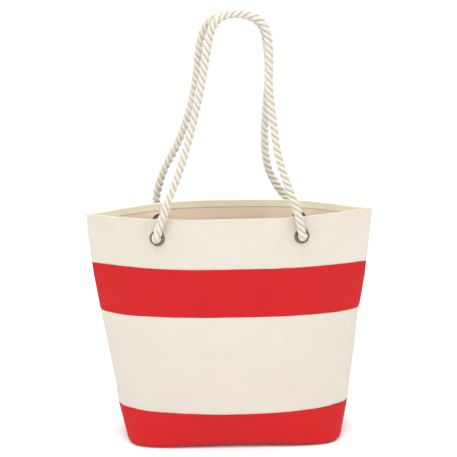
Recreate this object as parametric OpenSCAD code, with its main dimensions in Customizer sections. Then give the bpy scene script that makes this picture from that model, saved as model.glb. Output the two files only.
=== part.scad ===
// Open-top canvas beach bag with two rope handles, lying in the frame:
// +X to the viewer's right, +Y from the front panel to the back panel, +Z up, Z = 0 under the base.

/* [Body] */
// Width of the open mouth, side seam to side seam
mouth_w = 458; // [370:1:560]
// Depth of the open mouth between the middles of the front rim and the back rim
mouth_d = 112; // [92:1:140]
// Height of the bag from its base to the middle of its rim
body_h = 380; // [310:1:470]
// Width of the boxed base
base_w = 348; // [290:1:430]
// Depth of the boxed base
base_d = 150; // [120:1:180]
// How far the rim drops towards its side seams
rim_dip = 3; // [0:0.5:6]
// How far the side seams belly out past a straight line from the base to the mouth
belly = 3; // [0:0.5:6]
// Power of the base's outline: the smaller it is, the squarer are the corners
base_power = 0.35; // [0.3:0.05:0.6]
// Radius between the walls and the base
base_edge_r = 8; // [6:0.5:14]
// Thickness of the canvas
canvas_t = 1.6; // [1:0.1:2.2]

/* [Bands] */
// Height of the red base band on the walls
base_band_h = 57; // [40:1:80]
// Height of the red stripe
stripe_h = 79; // [50:1:100]
// Height of the plain band above the stripe
top_band_h = 81; // [68:1:110]

/* [Tapes] */
// Width of the tape inside the rim
rim_tape_w = 13; // [8:0.5:18]
// Thickness of the cotton tapes
tape_t = 0.8; // [0.5:0.1:1.2]
// Gap between a seam tape and the canvas that it covers
tape_gap = 0.3; // [0.2:0.05:0.5]

/* [Grommets] */
// Distance between the two grommets of one panel
grommet_pitch = 228; // [180:1:270]
// Depth of the grommet centres below the rim
grommet_drop = 31; // [27:1:45]
// Space round the rope inside a grommet
rope_clear = 1.1; // [0.6:0.1:2.5]
// Width of the grommet's flange round its bore
flange_w = 4.5; // [3.8:0.1:6]
// Thickness of the flange
flange_t = 1.8; // [1:0.1:2.4]
// Wall of the barrel that goes through the canvas
barrel_wall = 0.9; // [0.6:0.1:1.2]
// Width of the washer on the inside, from the bore to its edge
washer_w = 4; // [3.2:0.1:5.5]
// Thickness of the washer
washer_t = 0.8; // [0.5:0.1:1.2]
// Width of the rolled lip over the washer
lip_w = 1.8; // [1.2:0.1:2.4]
// Thickness of the rolled lip
lip_t = 1; // [0.6:0.1:1.4]

/* [Rope] */
// Diameter of the rope
rope_d = 14; // [11:0.5:15]
// Size of the knot at each end
knot_d = 33; // [28:0.5:37]
// Gap between the knot and the canvas, measured along the grommet's axis
knot_gap = 5.5; // [4:0.5:9]
// How far the knot hangs below its grommet
knot_drop = 10; // [0:0.5:14]
// Length of the rope's tail, from the knot's middle down
tail_l = 42; // [30:1:60]
// Gap between a grommet's flange and the foot of the handle in front of it
foot_clear = 2.9; // [2:0.1:5]
// Space between the two handles where they lean together
handle_gap = 1; // [0.5:0.1:3]
// Space between a handle and the rim that it passes
rim_gap = 0.5; // [0.3:0.1:2]

/* [Hidden] */

natural = "#ECE5D8";
red = "#DA2C30";
tape_cream = "#D9CFB4";
rope_cream = "#E1D7C2";
nickel = "#6E675C";

stripe_z0 = body_h - top_band_h - stripe_h;
top_z0 = body_h - top_band_h;
grommet_z = body_h - grommet_drop;

grommet_bore = rope_d + 2 * rope_clear;
flange_d = grommet_bore + 2 * flange_w;
washer_d = grommet_bore + 2 * washer_w;
// Distance of the knot's middle inside the canvas's inner face, and of a handle's pivot outside it
knot_set = knot_d / 2 + knot_gap;
pivot_out = canvas_t + flange_t + rope_d / 2 + foot_clear;

// Columns from one side seam (0) to the other (2 * quarter), closest together at the seams
quarter = 13;
// Rows of facets round the base edge
edge_steps = 4;
// Columns on each half of a seam tape
tape_cols = 5;
// Columns of the base band's grid that the corner tape covers on each side of the seam
corner_cols = 7;
// Clearance of the canvas hole round the barrel, and of the washer's hole
barrel_clear = 0.2;
// Clearance round a clamped ring where the canvas is pressed flat
seat_clear = 0.2;
// Space between the fixed end of the rope and the handle that turns in front of it
pivot_clear = 0.4;
rope_sides = 10;
rope_steps = 2;
// Share of a height above the rim that a slanting rope is clear of it by
rope_slope = 0.6;

// Routes of the two handles, from the left grommet to the right one. Each point is
// [x, how far it leans inwards in percent, height above the grommets].
route_half_pitch = 114;
front_route = [
    [-114, 0, 0], [-113, 0, 13], [-107, 2, 29], [-96, 8, 62], [-84, 17, 90], [-74, 26, 118],
    [-66, 34, 142], [-59, 43, 167], [-51, 54, 195], [-44, 64, 225], [-38, 74, 253],
    [-33, 82, 279], [-29, 88, 301], [-24, 93, 322], [-15, 97, 339], [0, 99, 348],
    [18, 100, 350], [37, 99, 348], [52, 97, 340], [62, 93, 326], [66, 88, 306],
    [67, 79, 278], [66, 67, 236], [69, 56, 202], [73, 44, 168], [78, 32, 133],
    [86, 21, 103], [94, 14, 80], [101, 9, 62], [107, 5, 44], [111, 1, 26], [113, 0, 12],
    [114, 0, 0]
];
back_route = [
    [-114, 0, 0], [-116, 0, 13], [-118, 2, 28], [-116, 6, 45], [-109, 12, 71], [-98, 19, 97],
    [-85, 27, 121], [-74, 37, 147], [-65, 45, 171], [-58, 54, 196], [-52, 63, 222],
    [-48, 73, 249], [-45, 81, 275], [-42, 87, 299], [-36, 92, 320], [-26, 96, 335],
    [-11, 98, 343], [6, 99, 346], [23, 99, 346], [40, 98, 341], [54, 95, 330],
    [61, 91, 314], [64, 85, 294], [66, 77, 269], [66, 67, 237], [63, 57, 205],
    [61, 47, 176], [59, 37, 148], [60, 25, 113], [65, 15, 82], [74, 9, 62], [83, 5, 46],
    [93, 2, 33], [103, 0, 22], [110, 0, 11], [114, 0, 0]
];

function mix(a, b, t) = a + (b - a) * t;
function ease(t) = let(c = min(1, max(0, t))) c * c * (3 - 2 * c);
function unit(v) = v / norm(v);
function signed_pow(v, e) = sign(v) * pow(abs(v), e);

// The bag's section at height z is x = half width * cos^ex, y = half depth * sin^ey.
// At the base both exponents are well under 1, which gives its box; they reach 1, an ellipse, at
// the top of the base band. In the upper half they change to 2/3 and 3, which gives a mouth that
// comes to a point at each side seam.
function half_w(z) =
    let(t = z / body_h) mix(base_w, mouth_w, t) / 2 + belly * pow(4 * t * (1 - t), 0.6);
function half_d(z) = mix(base_d, mouth_d, pow(z / body_h, 1.8)) / 2;
function low_exp(z) = min(1, mix(base_power, 1, z / base_band_h));
function pointed(z) = ease(2 * z / body_h - 1);
function ex(z) = mix(low_exp(z), 2 / 3, pointed(z));
function ey(z) = mix(low_exp(z), 3, pointed(z));
function section(z, a) =
    [half_w(z) * signed_pow(cos(a), ex(z)), -half_d(z) * signed_pow(sin(a), ey(z))];
function section_normal(z, a) =
    let(t = unit(section(z, a + 0.5) - section(z, a - 0.5))) [-t.y, t.x];

// A point of the canvas's inner face at height z and angle a, moved outwards by off
function skin(z, a, off = 0) =
    let(
        p = section(z, a) + off * section_normal(z, a),
        u = section(z, a).x / half_w(z)
    )
    [p.x, p.y, z - rim_dip * u * u * z / body_h];

function column_angle(k) =
    k <= quarter ? 90 * pow(k / quarter, 1.5) : 180 - column_angle(2 * quarter - k);
function ring_angle(k) =
    k < 0 ? -ring_angle(-k) : k <= 2 * quarter ? column_angle(k) : 180 + column_angle(k - 2 * quarter);

// Faces of a grid of rows x cols points that starts at index first
function grid_faces(rows, cols, first, flip) = [
    for (i = [0 : rows - 2], j = [0 : cols - 2])
        let(
            a = first + i * cols + j,
            b = a + 1,
            c = a + cols + 1,
            d = a + cols
        )
        each flip ? [[a, c, b], [a, d, c]] : [[a, b, c], [a, c, d]]
];

// A wall between two grids of points: outer and inner hold the same rows and columns
module slab(outer, inner) {
    rows = len(outer);
    cols = len(outer[0]);
    n = rows * cols;
    points = [for (g = [outer, inner], row = g) each row];
    rim = concat(
        [for (j = [0 : cols - 1]) j],
        [for (i = [1 : rows - 1]) i * cols + cols - 1],
        [for (j = [1 : cols - 1]) (rows - 1) * cols + cols - 1 - j],
        [for (i = [1 : rows - 2]) (rows - 1 - i) * cols]
    );
    edge = [
        for (i = [0 : len(rim) - 1])
            let(a = rim[i], b = rim[(i + 1) % len(rim)])
            each [[a, a + n, b + n], [a, b + n, b]]
    ];
    polyhedron(points, concat(
        grid_faces(rows, cols, 0, false), grid_faces(rows, cols, n, true), edge
    ));
}

// A solid carried along closed rings of points, closed by a fan at each end
module ring_solid(rings, first_tip, last_tip) {
    n = len(rings[0]);
    m = len(rings);
    points = concat([for (r = rings) each r], [first_tip, last_tip]);
    sides = [
        for (i = [0 : m - 2], k = [0 : n - 1])
            let(
                a = i * n + k,
                b = i * n + (k + 1) % n
            )
            each [[a, b, b + n], [a, b + n, a + n]]
    ];
    caps = [
        for (k = [0 : n - 1])
            each [
                [m * n, (k + 1) % n, k],
                [m * n + 1, (m - 1) * n + k, (m - 1) * n + (k + 1) % n]
            ]
    ];
    polyhedron(points, concat(sides, caps));
}

// Height of row i of the base band's walls, from its top down to the base edge
wall_rows = 5;
function base_row(i) = mix(base_band_h, base_edge_r, i / wall_rows);

// Heights of the rows of facets in the three upper bands
middle_rows = [for (i = [0 : 4]) mix(base_band_h, stripe_z0, i / 4)];
stripe_rows = [for (i = [0 : 2]) mix(stripe_z0, top_z0, i / 2)];
top_rows = [top_z0, mix(top_z0, body_h - rim_tape_w, 0.5), body_h - rim_tape_w, body_h];

// One band of the front panel, with a row of facets at each height in zs
module band(zs) {
    function grid(off) = [for (z = zs) [for (k = [0 : 2 * quarter]) skin(z, column_angle(k), off)]];
    slab(grid(canvas_t), grid(0));
}

// The red canvas that wraps the lower front, the base and the lower back as one cup
module base_wrap() {
    function cup_ring(z, off) = [for (k = [0 : 4 * quarter - 1]) skin(z, ring_angle(k), off)];
    function wall(t, r) = concat(
        [for (i = [0 : wall_rows - 1]) cup_ring(base_row(i), t)],
        [
            for (i = [0 : edge_steps])
                let(f = 90 * i / edge_steps)
                cup_ring(base_edge_r - r * sin(f), t - r * (1 - cos(f)))
        ]
    );
    outer = wall(canvas_t, base_edge_r);
    inner = wall(0, base_edge_r - canvas_t);
    m = len(inner);
    color(red) ring_solid(
        concat([for (i = [0 : m - 1]) inner[m - 1 - i]], outer), [0, 0, canvas_t], [0, 0, 0]
    );
}

module front_middle_band() {
    color(natural) band(middle_rows);
}

module front_stripe() {
    color(red) band(stripe_rows);
}

module front_top_band() {
    color(natural) difference() {
        band(top_rows);
        for (side = [-1, 1]) at_grommet(side) grommet_cut();
    }
}

module back_middle_band() {
    mirror([0, 1, 0]) front_middle_band();
}

module back_stripe() {
    mirror([0, 1, 0]) front_stripe();
}

module back_top_band() {
    mirror([0, 1, 0]) front_top_band();
}

// Cotton tape on the inside of the rim; it stops short of the pointed ends of the mouth
module front_rim_tape() {
    first_col = 5;
    function grid(off) = [
        for (z = [body_h - rim_tape_w, body_h])
            [for (k = [first_col : 2 * quarter - first_col]) skin(z, column_angle(k), off)]
    ];
    color(tape_cream) slab(grid(0), grid(-tape_t));
}

module back_rim_tape() {
    mirror([0, 1, 0]) front_rim_tape();
}

// Tape over the inside of the right side seam, from the base edge to the rim tape
module right_seam_tape() {
    tape_rows = concat(
        [base_edge_r + tape_gap],
        [for (i = [1 : wall_rows - 1]) base_row(wall_rows - i)],
        middle_rows,
        [stripe_rows[1]],
        [top_rows[0], top_rows[1], top_rows[2] - tape_gap]
    );
    // angle from the seam at which the tape's edge lies
    reach_table = [[0, 0.8], [0.07, 2.6], [0.15, 7.5], [0.58, 11], [0.78, 17], [1, 25]];
    function reach(z) = lookup(z / body_h, reach_table);
    // angle at which the canvas is o away from the seam's plane
    function tip_angle(z, o) = asin(pow(o / half_d(z), 1 / ey(z)));
    function tape_point(z, k, o) =
        let(
            t = tip_angle(z, o),
            a = mix(t, reach(z), abs(k) / tape_cols),
            p = skin(z, a, -o)
        )
        k == 0
            ? [min(section(z, t).x, half_w(z) - o), 0, z - rim_dip * z / body_h]
            : [p.x, sign(k) * p.y, p.z];
    function grid(o) = [for (z = tape_rows) [for (k = [-tape_cols : tape_cols]) tape_point(z, k, o)]];
    color(tape_cream) slab(grid(tape_gap), grid(tape_gap + tape_t));
}

module left_seam_tape() {
    mirror([1, 0, 0]) right_seam_tape();
}

// Tape over the seam that boxes the right end of the base
module right_corner_tape() {
    r = base_edge_r - canvas_t;
    function grid(o) = [
        for (i = [1 : edge_steps - 1])
            let(f = 90 * i / edge_steps)
            [
                for (k = [-corner_cols : corner_cols])
                    skin(base_edge_r - r * sin(f), ring_angle(k), -r * (1 - cos(f)) - o * cos(f))
                        + [0, 0, o * sin(f)]
            ]
    ];
    color(tape_cream) slab(grid(tape_gap), grid(tape_gap + tape_t));
}

module left_corner_tape() {
    mirror([1, 0, 0]) right_corner_tape();
}

// Where a grommet sits on the canvas's inner face, and the way out of the bag there
grommet_a = acos(pow(grommet_pitch / 2 / half_w(grommet_z), 1 / ex(grommet_z)));
grommet_p = skin(grommet_z, grommet_a);
grommet_n = unit(cross(
    skin(grommet_z + 1, grommet_a) - skin(grommet_z - 1, grommet_a),
    skin(grommet_z, grommet_a + 1) - skin(grommet_z, grommet_a - 1)
));

// Puts a piece drawn along +Z, with Z = 0 on the canvas's inner face, at a front grommet
module at_grommet(side) {
    n = [side * grommet_n.x, grommet_n.y, grommet_n.z];
    translate([side * grommet_p.x, grommet_p.y, grommet_p.z])
        rotate([0, acos(n.z), atan2(n.y, n.x)]) children();
}

// The hole for the barrel, and the flats that the two clamped rings press into the canvas
module grommet_cut() {
    reach = 8;
    translate([0, 0, -reach])
        cylinder(r = grommet_bore / 2 + barrel_wall + barrel_clear, h = 2 * reach, $fn = 64);
    translate([0, 0, -reach]) cylinder(r = washer_d / 2 + seat_clear, h = reach, $fn = 64);
    translate([0, 0, canvas_t]) cylinder(r = flange_d / 2 + seat_clear, h = reach, $fn = 64);
}

// Two-part eyelet: a domed flange with a barrel, rolled over the washer on the inside
module grommet() {
    bore_r = grommet_bore / 2;
    barrel_r = bore_r + barrel_wall;
    flange_r = flange_d / 2;
    lip_z = -washer_t - lip_t;
    dome = flange_t / 2;
    rotate_extrude($fn = 72) polygon(concat(
        [[bore_r, lip_z], [bore_r + lip_w, lip_z], [bore_r + lip_w, -washer_t]],
        [[barrel_r, -washer_t], [barrel_r, canvas_t], [flange_r, canvas_t]],
        [for (f = [0 : 30 : 90]) [flange_r - dome * (1 - cos(f)), canvas_t + dome * (1 + sin(f))]],
        [for (f = [90 : 30 : 180]) [bore_r + dome * (1 + cos(f)), canvas_t + dome * (1 + sin(f))]]
    ));
}

module washer() {
    translate([0, 0, -washer_t]) difference() {
        cylinder(r = washer_d / 2, h = washer_t, $fn = 72);
        translate([0, 0, -1])
            cylinder(r = grommet_bore / 2 + barrel_wall + barrel_clear, h = washer_t + 2, $fn = 72);
    }
}

// End of a rope: the straight stretch through the grommet, the knot and its hanging tail
module knot(side) {
    out = pivot_out * (1 - pow(grommet_n.x, 2)) - rope_d / 2 - pivot_clear;
    knot_p = [side * (grommet_p.x - knot_set * grommet_n.x), grommet_p.y - knot_set * grommet_n.y,
        grommet_p.z - knot_set * grommet_n.z - knot_drop];
    color(rope_cream) union() {
        at_grommet(side) translate([0, 0, -knot_set])
            cylinder(d = rope_d, h = knot_set + out, $fn = 32);
        translate(knot_p) sphere(d = knot_d, $fn = 40);
        translate(knot_p - [0, 0, tail_l]) cylinder(d = rope_d, h = tail_l, $fn = 32);
    }
}

module front_left_grommet() {
    color(nickel) at_grommet(-1) grommet();
}

module front_right_grommet() {
    color(nickel) at_grommet(1) grommet();
}

module back_left_grommet() {
    mirror([0, 1, 0]) front_left_grommet();
}

module back_right_grommet() {
    mirror([0, 1, 0]) front_right_grommet();
}

module front_left_washer() {
    color(nickel) at_grommet(-1) washer();
}

module front_right_washer() {
    color(nickel) at_grommet(1) washer();
}

module back_left_washer() {
    mirror([0, 1, 0]) front_left_washer();
}

module back_right_washer() {
    mirror([0, 1, 0]) front_right_washer();
}

module front_left_knot() {
    knot(-1);
}

module front_right_knot() {
    knot(1);
}

module back_left_knot() {
    mirror([0, 1, 0]) knot(-1);
}

module back_right_knot() {
    mirror([0, 1, 0]) knot(1);
}

// The handles turn about lines along X through these points, which are straight out from the
// grommets' middles as seen from the front
pivot_p = [grommet_p.x, grommet_p.y + pivot_out * grommet_n.y, grommet_p.z + pivot_out * grommet_n.z];
lean_y = -(rope_d + handle_gap) / 2;

// A route's points, leaning towards -Y as the front handle's do; the half of a leg near its
// grommet moves with the grommet, and the rest draws in or out with it
function placed(route) = [
    for (p = route)
        let(pull = p.x / max(abs(p.x), route_half_pitch / 2))
        [
            p.x + (pivot_p.x - route_half_pitch) * pull,
            mix(pivot_p.y, lean_y, p.y / 100),
            pivot_p.z + p.z
        ]
];

// How far from the bag's middle plane the canvas's inner face is at x and z
function wall_y(x, z) =
    half_d(z) * pow(sin(acos(pow(min(1, abs(x) / half_w(z)), 1 / ex(z)))), ey(z));

// The points p, each moved outwards where the rope there would touch the wall or its rim
function clear_of_wall(p) = [
    for (q = p)
        let(
            above = rope_slope * max(0, q.z - body_h) / (rope_d / 2),
            reach = canvas_t + rim_gap + rope_d / 2 * sqrt(max(0, 1 - above * above)),
            need = above < 1 ? wall_y(q.x, min(q.z, body_h)) + reach : 0
        )
        [q.x, min(q.y, -need), q.z]
];

// Catmull-Rom curve through the points p, with steps stretches between two points
function curve(p, steps) = [
    for (i = [0 : len(p) - 2], j = [0 : steps - 1])
        let(
            t = j / steps,
            a = p[max(0, i - 1)],
            b = p[i],
            c = p[i + 1],
            d = p[min(len(p) - 1, i + 2)]
        )
        b + (c - a) * t / 2 + (2 * a - 5 * b + 4 * c - d) * t * t / 2
            + (3 * b - a - 3 * c + d) * t * t * t / 2,
    p[len(p) - 1]
];

// A rope along the points p, with a round nose at each end
module rope(p) {
    r = rope_d / 2;
    last = len(p) - 1;
    function along(i) = unit(p[min(i + 1, last)] - p[max(i - 1, 0)]);
    function loop(c, t, q) =
        let(s = unit(cross(t, [0, 1, 0])), u = cross(s, t))
        [
            for (k = [0 : rope_sides - 1])
                let(f = 360 * k / rope_sides)
                c + q * (cos(f) * s + sin(f) * u)
        ];
    function nose_ring(i, out, f) =
        loop(p[i] + out * r * sin(f) * along(i), along(i), r * cos(f));
    ring_solid(
        concat(
            [for (f = [60, 30]) nose_ring(0, -1, f)],
            [for (i = [0 : last]) loop(p[i], along(i), r)],
            [for (f = [30, 60]) nose_ring(last, 1, f)]
        ),
        p[0] - r * along(0),
        p[last] + r * along(last)
    );
}

module front_handle_rope() {
    color(rope_cream) rope(clear_of_wall(curve(placed(front_route), rope_steps)));
}

module back_handle_rope() {
    color(rope_cream) mirror([0, 1, 0]) rope(clear_of_wall(curve(placed(back_route), rope_steps)));
}

base_wrap();
front_middle_band();
front_stripe();
front_top_band();
back_middle_band();
back_stripe();
back_top_band();
front_rim_tape();
back_rim_tape();
left_seam_tape();
right_seam_tape();
left_corner_tape();
right_corner_tape();
front_left_grommet();
front_right_grommet();
back_left_grommet();
back_right_grommet();
front_left_washer();
front_right_washer();
back_left_washer();
back_right_washer();
front_left_knot();
front_right_knot();
back_left_knot();
back_right_knot();
front_handle_rope();
back_handle_rope();
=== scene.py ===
"""A striped canvas beach bag with two rope handles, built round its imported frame.

Everything is in metres: +X to the viewer's right, +Y from the front panel to the back one, +Z up.
"""

import math

import bmesh
import bpy
import numpy as np
from mathutils import Matrix, Vector


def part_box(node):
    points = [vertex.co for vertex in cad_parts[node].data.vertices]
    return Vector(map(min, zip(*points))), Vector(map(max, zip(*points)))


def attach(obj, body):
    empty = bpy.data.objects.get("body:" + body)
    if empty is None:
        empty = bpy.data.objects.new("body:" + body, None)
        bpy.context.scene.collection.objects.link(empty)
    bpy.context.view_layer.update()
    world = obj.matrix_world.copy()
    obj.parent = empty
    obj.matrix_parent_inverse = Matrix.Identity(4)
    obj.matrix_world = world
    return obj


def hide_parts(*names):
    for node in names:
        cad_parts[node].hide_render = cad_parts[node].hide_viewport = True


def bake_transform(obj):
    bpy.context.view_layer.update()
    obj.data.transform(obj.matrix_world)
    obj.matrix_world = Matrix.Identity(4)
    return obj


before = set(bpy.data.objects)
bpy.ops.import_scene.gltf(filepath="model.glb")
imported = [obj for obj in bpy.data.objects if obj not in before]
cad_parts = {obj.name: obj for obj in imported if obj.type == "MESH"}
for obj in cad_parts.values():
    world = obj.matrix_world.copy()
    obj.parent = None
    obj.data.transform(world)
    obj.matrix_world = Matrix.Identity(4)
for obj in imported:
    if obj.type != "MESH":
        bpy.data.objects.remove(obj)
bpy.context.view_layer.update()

# ---------------------------------------------------------------- the bag's driving sizes

MOUTH_W, MOUTH_D = 0.458, 0.112
BODY_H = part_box("front_top_band")[1].z
BASE_W, BASE_D = 0.348, 0.150
RIM_DIP = 0.003
BELLY = 0.003
BASE_POWER = 0.35
BASE_EDGE_R = 0.008
CANVAS_T = 0.0016
BASE_BAND_H, STRIPE_H, TOP_BAND_H = 0.057, 0.079, 0.081
TOP_Z0 = BODY_H - TOP_BAND_H
STRIPE_Z0 = TOP_Z0 - STRIPE_H
RIM_TAPE_W, TAPE_T, TAPE_GAP = 0.013, 0.0008, 0.0003

GROMMET_PITCH, GROMMET_DROP = 0.228, 0.031
ROPE_D = 0.014
BORE_R = ROPE_D / 2 + 0.0011
FLANGE_R = BORE_R + 0.0045
FLANGE_T = 0.0018
BARREL_WALL = 0.0009
WASHER_R, WASHER_T = BORE_R + 0.004, 0.0008
LIP_W, LIP_T = 0.0018, 0.001
KNOT_SET, KNOT_DROP = 0.022, 0.010
PIVOT_OUT = CANVAS_T + FLANGE_T + ROPE_D / 2 + 0.0029
HANDLE_GAP, RIM_GAP, ROPE_SLOPE = 0.001, 0.0005, 0.6
HOLE_R = BORE_R + BARREL_WALL + 0.0002

# How far the base's front and back edges arch up, and how far the base stands off to the right
ARCH = 0.0042
LEAN = 0.0024
# Pitches of the canvas's threads, the rope's lay and the stitches, and stitches' way in from a seam
THREAD_PITCH = 0.00095
LAY = 0.033
STITCH_PITCH = 0.0036
STITCH_INSET = 0.0026
# Facets round the rope and the metal rings, and the distance between the rope's rings
ROPE_SIDES, METAL_SIDES = 48, 96
RING_STEP = 0.0015
# Size of the ball in a rope's bend, and half the height of the band in which the rope bends
BEND_R, BEND_REACH = 0.0045, 0.0022
# Distances of the first rows of points from a seam
NEAR_SEAM = np.array([0, 0.0004, 0.0008, 0.0013, 0.0020, 0.0030])

FRONT, BACK = -1, 1


def mix(a, b, t):
    return a + (b - a) * t


def ease(t):
    """Rises from 0 to 1 as t does, level at both ends."""
    c = np.clip(t, 0, 1)
    return c * c * (3 - 2 * c)


def unit(v):
    return v / np.linalg.norm(v, axis=-1, keepdims=True)


# ---------------------------------------------------------------- the bag's skin


def half_w(z):
    t = np.clip(z / BODY_H, 0, 1)
    return mix(BASE_W, MOUTH_W, t) / 2 + BELLY * (4 * t * (1 - t)) ** 0.6


def half_d(z):
    return mix(BASE_D, MOUTH_D, np.maximum(z / BODY_H, 0) ** 1.8) / 2


def exponents(z):
    """Powers of the section's two halves: both well under 1 at the base, 1 at the top of the
    base band, and 2/3 and 3 at the mouth."""
    low = np.minimum(1, mix(BASE_POWER, 1, z / BASE_BAND_H))
    pointed = ease(2 * z / BODY_H - 1)
    return mix(low, 2 / 3, pointed), mix(low, 3.0, pointed)


def wall_y(x, z):
    """How far the canvas's inner face is from the middle plane at x and z."""
    ex, ey = exponents(z)
    sine = np.sqrt(1 - np.minimum(1, np.abs(x) / half_w(z)) ** (2 / ex))
    return half_d(z) * sine**ey


def half_section(z, samples=260):
    """Right half of the front section at each height: x = half width times cos to its power, y =
    half depth times sin to its power, from the middle of the panel to the seam, with the length
    along it and the way out of the bag. Rows are heights."""
    t = np.linspace(0, 1, samples)
    angle = (np.pi / 2) * np.cos(np.pi * t / 2) ** 2
    z = np.asarray(z, float)[:, None]
    ex, ey = exponents(z)
    x = half_w(z) * np.maximum(np.cos(angle), 0) ** ex
    y = half_d(z) * np.maximum(np.sin(angle), 0) ** ey
    step = np.hypot(np.diff(x, axis=1), np.diff(y, axis=1))
    along = np.concatenate([np.zeros((len(z), 1)), np.cumsum(step, axis=1)], axis=1)
    tx = np.gradient(x, axis=1)
    ty = -np.gradient(y, axis=1)
    size = np.maximum(np.hypot(tx, ty), 1e-12)
    return x, y, along, ty / size, tx / size


def waves(s, z, lengths, seed):
    """Sum of level waves that run in different directions, one for each wave length."""
    rng = np.random.default_rng(seed)
    total = np.zeros(np.broadcast(s, z).shape)
    for length in lengths:
        turn, phase = rng.uniform(0, 2 * np.pi, 2)
        total = total + np.sin(
            2 * np.pi * (s * np.cos(turn) + z * np.sin(turn)) / length + phase
        )
    return total / len(lengths)


def ridge(s, z, at, up, length, width, depth):
    """A soft fold: depth times two bell curves, along the direction up and across it."""
    u = unit(np.array(up, float))
    ds, dz = s - at[0], z - at[1]
    along = (ds * u[0] + dz * u[1]) / length
    across = (ds * u[1] - dz * u[0]) / width
    return depth * np.exp(-(along**2)) * np.exp(-(across**2))


SEAMS = [BASE_BAND_H, STRIPE_Z0, TOP_Z0]
FOLDS = {
    FRONT: [
        ((-0.131, 0.366), (0.06, 1), 0.011, 0.0026, -0.0011),
        ((-0.139, 0.362), (0.1, 1), 0.013, 0.0035, 0.0008),
        ((0.096, 0.360), (-0.12, 1), 0.020, 0.0050, -0.0013),
        ((0.145, 0.362), (1, 0.10), 0.022, 0.0032, 0.0007),
        ((0.150, 0.351), (1, 0.16), 0.020, 0.0034, -0.0007),
        ((-0.150, 0.250), (0.55, 1), 0.060, 0.0130, 0.0010),
        ((0.160, 0.240), (-0.50, 1), 0.055, 0.0120, 0.0009),
        ((-0.165, 0.070), (0.35, 1), 0.040, 0.0090, -0.0012),
        ((0.165, 0.075), (-0.30, 1), 0.045, 0.0090, -0.0012),
    ],
    BACK: [
        ((-0.097, 0.361), (0.10, 1), 0.019, 0.0048, -0.0012),
        ((0.133, 0.364), (-0.05, 1), 0.012, 0.0030, -0.0010),
        ((0.141, 0.360), (-0.10, 1), 0.013, 0.0036, 0.0008),
        ((-0.147, 0.356), (1, -0.14), 0.022, 0.0034, 0.0007),
        ((0.150, 0.245), (-0.60, 1), 0.060, 0.0130, 0.0010),
        ((-0.155, 0.235), (0.45, 1), 0.055, 0.0120, 0.0009),
        ((-0.165, 0.072), (0.30, 1), 0.042, 0.0090, -0.0012),
        ((0.165, 0.070), (-0.35, 1), 0.042, 0.0090, -0.0012),
    ],
}


def hang(s, z, edge, side):
    """How far the cloth stands off the plain section: long slack waves, soft folds, and the
    small puckers that a row of stitches draws up beside each seam and the rim's hem."""
    slack = 0.0011 * waves(s, z, [0.19, 0.15, 0.12, 0.10], 11 + side)
    slack = slack + 0.0005 * waves(s, z, [0.07, 0.055, 0.043, 0.036], 23 + side)
    free = ease(edge / 0.030) * ease(z / 0.030)
    total = slack * free
    for fold in FOLDS[side]:
        total = total + ridge(s, z, *fold) * ease(edge / 0.012)
    for i, seam in enumerate(SEAMS + [BODY_H - 0.011]):
        near = np.exp(-np.abs(z - seam) / 0.0045)
        ripple = waves(s, 0 * z, [0.0071, 0.0093, 0.0127, 0.0172], 41 + 7 * i + side)
        total = total + 0.00042 * ripple * near * ease(edge / 0.010)
    return total


def swell(z, way):
    """How far a side seam bellies out past the plain section: on the left a broad swell below the
    mouth, on the right a hollow beside the stripe, and on both a tuck at the base. way is -1 at
    the left seam."""
    left = 0.0026 * np.exp(-(((z - 0.290) / 0.080) ** 2))
    left = left + 0.0006 * np.exp(-(((z - 0.055) / 0.030) ** 2))
    right = -0.0024 * np.exp(-(((z - 0.205) / 0.040) ** 2))
    both = 0.0015 * np.exp(-(((z - 0.060) / 0.022) ** 2)) - 0.0025 * np.exp(-((z / 0.020) ** 2))
    return (np.where(way < 0, left, right) + both) * ease((BODY_H - z) / 0.040)


def sag(z, way):
    """How far more than the plain section the bands droop beside a seam: a little all the way up
    on the left, and on the right most at the stripe's top, from where it runs out at the rim."""
    left = 0.0013 * ease(z / 0.300)
    right = 0.0075 * np.exp(-(((z - 0.275) / 0.070) ** 2)) - 0.0020 * ease((z - 0.290) / 0.090)
    return np.where(way < 0, left, right)


def grommet_place():
    """Where a grommet's axis meets the inner face of the front panel on the right, and the way
    out of the bag there: across the two directions in which the wall runs."""
    z = BODY_H - GROMMET_DROP

    def skin(height, angle):
        ex, ey = exponents(height)
        x = half_w(height) * math.cos(angle) ** ex
        y = -half_d(height) * math.sin(angle) ** ey
        return np.array([x, y, height - RIM_DIP * (x / half_w(height)) ** 2 * height / BODY_H])

    angle = math.acos((GROMMET_PITCH / 2 / half_w(z)) ** (1 / exponents(z)[0]))
    turn = math.radians(1)
    up = skin(z + 0.001, angle) - skin(z - 0.001, angle)
    across = skin(z, angle + turn) - skin(z, angle - turn)
    return skin(z, angle), unit(np.cross(up, across))


GROMMET_P, GROMMET_N = grommet_place()
PIVOT = GROMMET_P + PIVOT_OUT * GROMMET_N * [0, 1, 1]
CORNERS = {
    "front_left": np.array([-1, 1, 1]),
    "front_right": np.array([1, 1, 1]),
    "back_left": np.array([-1, -1, 1]),
    "back_right": np.array([1, -1, 1]),
}


def seat_grommets(points, off, side):
    """Presses the cloth flat under the two rings of a panel, over a short slope round them."""
    for turn in (-1, 1):
        flip = np.array([turn, -side, 1])
        centre, out = GROMMET_P * flip, GROMMET_N * flip
        q = points - centre
        height = q @ out
        radius = np.linalg.norm(q - height[..., None] * out, axis=-1)
        angle = np.arctan2(q[..., 2], q[..., 0])
        pucker = 0.0004 * np.sin(7 * angle + turn) * np.exp(-((radius - 0.016) / 0.006) ** 2)
        flat = 1 - ease((radius - 0.0132) / 0.006)
        move = flat * (off - height) + (1 - flat) * pucker
        points = points + move[..., None] * out
    return points


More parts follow.
